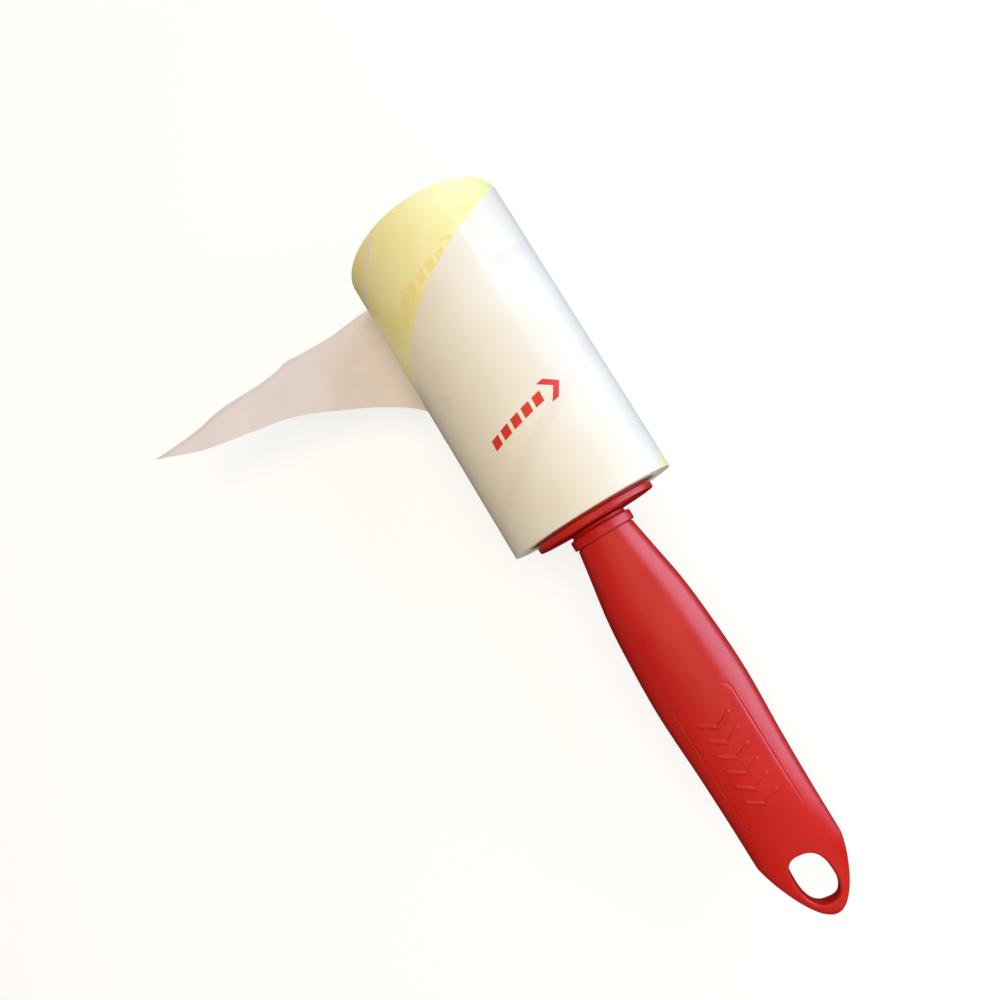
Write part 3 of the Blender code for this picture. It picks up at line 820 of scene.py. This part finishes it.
def axle():
    """Split snap barb, shaft, neck, rounded collar and the headed plug in the handle."""
    profile = [(BARB_START, 0.0), (BARB_START, SHAFT_RADIUS - 0.6 * MM),
               (BARB_START + 2.4 * MM, BARB_RADIUS), (BARB_END, BARB_RADIUS),
               (BARB_END, SHAFT_RADIUS), (NECK_START, SHAFT_RADIUS), (NECK_START, NECK_RADIUS),
               (COLLAR_START, NECK_RADIUS), (COLLAR_START, COLLAR_RADIUS),
               (COLLAR_END, COLLAR_RADIUS), (COLLAR_END, SEAT_RADIUS), (SEAT_END, SEAT_RADIUS),
               (SEAT_END, PLUG_RADIUS), (PLUG_HEAD_START, PLUG_RADIUS),
               (PLUG_HEAD_START, PLUG_HEAD_RADIUS), (PLUG_END, PLUG_HEAD_RADIUS),
               (PLUG_END, 0.0)]
    shape = [profile[0]] + rounded(profile, COLLAR_ROUND, 6)[1:]
    stem = make("axle", *turned(shape), RED)
    width, depth = BARB_SPLIT
    reach = 2 * BARB_RADIUS
    combine(stem, block("split", (0.0, -reach, -width / 2), (depth, reach, width / 2)),
            "DIFFERENCE")
    settle(stem, "handle", "stem", "axle_stem")


# ================================================================================== handle
grip_half_width = track(GRIP_HALF_WIDTHS)
grip_half_height = track(GRIP_HALF_HEIGHTS)


def tongue_factor(x):
    """1 up to the shoulder, then down to 0 at the rounded tip."""
    along = min(max((x - SHOULDER_X) / (HANDLE_END - SHOULDER_X), 0.0), 1.0)
    inner, outer = TONGUE_POWERS
    return (1.0 - along ** inner) ** outer


def panel_groove(x, y):
    """Depth of the two bracket-shaped grooves that frame the grip's panel."""
    middle = (PANEL_START + PANEL_END) / 2
    ahead = abs(x - middle) - (PANEL_END - middle - PANEL_CORNER)
    aside = abs(y) - (PANEL_HALF_WIDTH - PANEL_CORNER)
    if ahead > 0 and aside > 0:
        off = math.hypot(ahead, aside) - PANEL_CORNER
    else:
        off = max(ahead, aside) - PANEL_CORNER
    near = max(0.0, 1.0 - (off / PANEL_GROOVE_WIDTH) ** 2) ** 2
    return PANEL_GROOVE_DEPTH * near * smoothstep(abs(y), 6.2 * MM, 8.0 * MM)


def chevrons(x, y):
    """Height of the raised chevrons on the panel."""
    if abs(y) > CHEVRON_HALF_WIDTH + CHEVRON_RIB:
        return 0.0
    height = 0.0
    for k in range(CHEVRON_COUNT):
        apex = CHEVRON_START + k * CHEVRON_STEP
        arm = apex + CHEVRON_SLOPE * (CHEVRON_HALF_WIDTH - abs(y))
        past = max(0.0, abs(y) - CHEVRON_HALF_WIDTH)
        off = math.hypot(abs(x - arm) * CHEVRON_ACROSS, past)
        height = max(height, CHEVRON_HEIGHT * smoothstep(off, CHEVRON_RIB, 0.4 * CHEVRON_RIB))
    return height


def grip_point(x, angle, side, decorated):
    """A point of one half's outer face; angle runs from +Y (0) to -Y (pi)."""
    across, up = math.cos(angle), math.sin(angle)
    factor = tongue_factor(x)
    width = grip_half_width(x) * factor
    height = grip_half_height(x) * min(1.0, 3.0 * factor)
    reach = max(height - SEAM_HALF_GAP, 0.0) * abs(up) ** (2 / SECTION_POWER)
    width -= SEAM_GROOVE * math.exp(-reach / SEAM_GROOVE_REACH) * min(1.0, factor * 2)
    y = max(width, 0.0) * math.copysign(abs(across) ** (2 / SECTION_POWER), across)
    z = SEAM_HALF_GAP + reach - panel_groove(x, y)
    if decorated:
        z += chevrons(x, y)
    return Vector((x, y, side * max(z, SEAM_HALF_GAP)))


def slot_ring(grow):
    """Outline of the hanging slot, grown outwards by a distance."""
    ring = []
    for k in range(SLOT_POINTS):
        turn = math.tau * k / SLOT_POINTS
        along, across = math.cos(turn), math.sin(turn)
        x = (SLOT_HALF_LENGTH + grow) * math.copysign(abs(along) ** (2 / SLOT_POWER), along)
        y = (SLOT_HALF_WIDTH + grow) * math.copysign(abs(across) ** (2 / SLOT_POWER), across)
        ring.append((SLOT_X + x, y))
    return ring


def inside_slot(x, y, grow):
    """Whether a plan point lies in the slot's outline, grown outwards by a distance."""
    along = abs(x - SLOT_X) / (SLOT_HALF_LENGTH + grow)
    across = abs(y) / (SLOT_HALF_WIDTH + grow)
    return along ** SLOT_POWER + across ** SLOT_POWER < 1.0


def section_angle(x, y):
    """The section angle at which the outer face passes over a plan point."""
    width = grip_half_width(x) * tongue_factor(x)
    share = min(1.0, abs(y) / width) ** (SECTION_POWER / 2)
    return math.acos(math.copysign(share, y))


def unrolled(x, y):
    """A plan point on the unrolled outer face, where the section angle is a length."""
    return (x, section_angle(x, y) * GRIP_SPREAD)


def grip_stations():
    """Places along X for the grip's mesh, closer together towards the tip."""
    stations = list(np.arange(HANDLE_START, SHOULDER_X, 0.5 * MM)) + [SHOULDER_X]
    steps = 52
    for k in range(1, steps + 1):
        reach = math.sin(0.5 * math.pi * k / steps)
        stations.append(SHOULDER_X + (HANDLE_END - SHOULDER_X) * reach)
    return stations


def grip_plan(decorated):
    """Mesh points of the unrolled outer face: a grid, denser along the grooves and ribs."""
    plan = []
    columns = 88
    clear = SLOT_ROUND + 0.15 * MM
    for x in grip_stations():
        for j in range(columns + 1):
            angle = math.pi * j / columns
            y = grip_half_width(x) * tongue_factor(x) * math.copysign(
                abs(math.cos(angle)) ** (2 / SECTION_POWER), math.cos(angle))
            if not inside_slot(x, y, clear):
                plan.append((x, angle * GRIP_SPREAD))
        if PANEL_START < x < PANEL_END:
            for off in np.linspace(-1.0, 1.0, 9) * PANEL_GROOVE_WIDTH:
                plan.append(unrolled(x, PANEL_HALF_WIDTH + off))
                plan.append(unrolled(x, -PANEL_HALF_WIDTH - off))
    if decorated:
        last = CHEVRON_START + CHEVRON_COUNT * CHEVRON_STEP
        for x in np.arange(CHEVRON_START - 1.0 * MM, last, 0.25 * MM):
            for y in np.arange(-5.4, 5.5, 0.3) * MM:
                plan.append(unrolled(x, y))
    return plan


def close_half(bm, side):
    """Add the slot's wall, then the flat face on the seam and the end at the collar."""
    slot_edges = [e for e in bm.edges if e.is_boundary
                  and all(inside_slot(v.co.x, v.co.y, 0.02 * MM) for v in e.verts)]
    wall = bmesh.ops.extrude_edge_only(bm, edges=slot_edges)
    for item in wall["geom"]:
        if isinstance(item, bmesh.types.BMVert):
            item.co.z = side * SEAM_HALF_GAP
    mouth = [e for e in bm.edges if e.is_boundary
             and all(abs(v.co.x - HANDLE_START) < 1e-7 for v in e.verts)]
    corners = sorted({v for e in mouth for v in e.verts}, key=lambda v: v.co.y)
    bm.faces.new(corners)
    rim = [e for e in bm.edges if e.is_boundary]
    filled = bmesh.ops.triangle_fill(bm, edges=rim, use_beauty=True)
    over_slot = [f for f in filled["geom"] if isinstance(f, bmesh.types.BMFace)
                 and inside_slot(*f.calc_center_median()[:2], -0.05 * MM)]
    bmesh.ops.delete(bm, geom=over_slot, context="FACES_ONLY")


def grip_half(name, side, decorated):
    """One half of the handle: outer face, rounded slot edge, slot wall and flat seam."""
    plan = grip_plan(decorated)
    drops = [0.0] * len(plan)
    first = len(plan)
    rim_steps = 7
    for k in range(rim_steps + 1):
        lift = 0.5 * math.pi * k / rim_steps
        for x, y in slot_ring(SLOT_ROUND * (1 - math.cos(lift))):
            plan.append(unrolled(x, y))
            drops.append(SLOT_ROUND * (1 - math.sin(lift)))
    edges = [(first + k, first + (k + 1) % SLOT_POINTS) for k in range(SLOT_POINTS)]
    flat = delaunay_2d_cdt([Vector(p) / MM for p in plan], edges, [], 0, 1e-6)
    places, faces, origins = flat[0], flat[2], flat[3]
    bm = bmesh.new()
    verts = []
    for place, origin in zip(places, origins):
        point = grip_point(place.x * MM, place.y * MM / GRIP_SPREAD, side, decorated)
        if origin:
            point.z -= side * drops[origin[0]]
        verts.append(bm.verts.new(point))
    for face in faces:
        middle = sum((verts[k].co for k in face), Vector()) / len(face)
        if not inside_slot(middle.x, middle.y, -0.002 * MM):
            bm.faces.new([verts[k] for k in face])
    bmesh.ops.remove_doubles(bm, verts=bm.verts[:], dist=0.003 * MM)
    bmesh.ops.dissolve_degenerate(bm, edges=bm.edges[:], dist=0.001 * MM)
    close_half(bm, side)
    bmesh.ops.recalc_face_normals(bm, faces=bm.faces[:])
    return finish_mesh(bm, name, RED, smooth_angle=40)


def handle():
    """Front half with the raised chevrons, plain back half."""
    settle(grip_half("grip_front", 1, True), "handle", "handle", "handle_front_shell")
    settle(grip_half("grip_back", -1, False), "handle", "handle", "handle_back_shell")


# ================================================================================== studio
CAMERA_AT = Vector((112.32, 21.15, 201.26)) * MM
CAMERA_AIM = Vector((94.93, -29.47, 0.0)) * MM
CAMERA_UP = Vector((-0.85519, 0.51531, -0.0557))
SENSOR_WIDTH = 36.0
FOCAL_SHARE = 0.657                         # focal length as a share of the sensor's width
CAMERA_SHIFT = (-0.004, 0.049)
LIGHTS_AIM = Vector((0.11, 0.0, 0.0))
STAGE_MIDDLE = 0.1                          # X of the middle of the floor and the backdrop
FLOOR_GAP = 0.0002                          # keeps the floor clear of the roll's underside
FLOOR_GLOW = 0.72
BACKDROP_RADIUS = 2.9
BACKDROP_GLOW = 0.80
WORLD_COLOUR = (1.0, 0.94, 0.86, 1.0)
WORLD_STRENGTH = 0.26


def add_camera():
    """The camera, built from its place, the point it looks at and its up direction."""
    data = bpy.data.cameras.new("camera")
    data.sensor_width = SENSOR_WIDTH
    data.lens = FOCAL_SHARE * SENSOR_WIDTH
    data.shift_x, data.shift_y = CAMERA_SHIFT
    data.clip_start = 0.01
    camera = bpy.data.objects.new("camera", data)
    bpy.context.collection.objects.link(camera)
    back = (CAMERA_AT - CAMERA_AIM).normalized()
    right = CAMERA_UP.cross(back).normalized()
    up = back.cross(right)
    turn = Matrix((right, up, back)).transposed()
    camera.matrix_world = Matrix.Translation(CAMERA_AT) @ turn.to_4x4()
    bpy.context.scene.camera = camera


def add_light(name, direction, distance, size, power, colour, mirrored=True):
    """A soft box that looks at the middle of the roller, seen in its gloss if mirrored."""
    data = bpy.data.lights.new(name, "AREA")
    data.shape = "RECTANGLE"
    data.size, data.size_y = size
    data.energy = power
    data.color = colour
    light = bpy.data.objects.new(name, data)
    bpy.context.collection.objects.link(light)
    light.visible_glossy = mirrored
    toward = Vector(direction).normalized()
    light.location = LIGHTS_AIM + toward * distance
    light.rotation_euler = toward.to_track_quat("Z", "Y").to_euler()


def light_nothing(obj):
    """Let only the camera see a piece of the studio, which then neither lights nor shades."""
    obj.visible_diffuse = False
    obj.visible_glossy = False
    obj.visible_shadow = False


def add_floor():
    """A pale floor that takes shadows, while its own light stays off the roller."""
    bpy.ops.mesh.primitive_plane_add(size=6.0,
                                     location=(STAGE_MIDDLE, 0.0, FLOOR_Z - FLOOR_GAP))
    floor = bpy.context.object
    floor.name = "floor"
    look = Look("floor", Roughness=0.9, Specular_IOR_Level=0.1)
    look.set("Base Color", look.mix(look.noise(3.0, 2), (0.34, 0.34, 0.34, 1.0),
                                    (0.36, 0.36, 0.36, 1.0)))
    look.set("Emission Color", (1.0, 1.0, 1.0, 1.0))
    look.set("Emission Strength", FLOOR_GLOW)
    floor.data.materials.append(look.material)
    light_nothing(floor)


def add_backdrop():
    """A pale dome that stands on the floor, behind every view from the side."""
    bpy.ops.mesh.primitive_uv_sphere_add(segments=96, ring_count=48, radius=BACKDROP_RADIUS,
                                         location=(STAGE_MIDDLE, 0.0, FLOOR_Z))
    dome = bpy.context.object
    dome.name = "backdrop"
    look = Look("backdrop", Roughness=1.0, Specular_IOR_Level=0.0)
    look.set("Base Color", (0.0, 0.0, 0.0, 1.0))
    look.set("Emission Color", (1.0, 0.99, 0.97, 1.0))
    look.set("Emission Strength", BACKDROP_GLOW)
    dome.data.materials.append(look.material)
    light_nothing(dome)


def add_world():
    """Faint warm light from all round, which the gloss doesn't mirror."""
    world = bpy.data.worlds.new("studio")
    world.use_nodes = True
    background = world.node_tree.nodes["Background"]
    background.inputs["Color"].default_value = WORLD_COLOUR
    background.inputs["Strength"].default_value = WORLD_STRENGTH
    bpy.context.scene.world = world
    world.cycles_visibility.glossy = False


def studio():
    add_camera()
    add_floor()
    add_backdrop()
    add_world()
    add_light("window", (0.0, 0.99, 0.12), 0.75, (1.0, 0.95), 8.0, (0.53, 0.70, 0.97))
    add_light("window_glint", (-0.50, 0.70, 0.46), 0.80, (0.13, 0.08), 0.35, (0.95, 0.98, 1.05))
    add_light("ceiling", (0.0, 0.17, 0.98), 0.90, (0.9, 0.7), 5.3, (1.0, 0.83, 0.55), False)
    add_light("wall", (0.0, -0.97, 0.22), 0.90, (0.9, 0.5), 0.8, (1.0, 0.87, 0.70), False)
    add_light("far_wall", (0.95, 0.1, 0.3), 0.90, (0.5, 0.5), 1.6, (1.0, 0.96, 0.90), False)
    bpy.context.scene.view_settings.view_transform = "Standard"


refill()
spool_hub()
spool_end_cap()
axle()
handle()
studio()
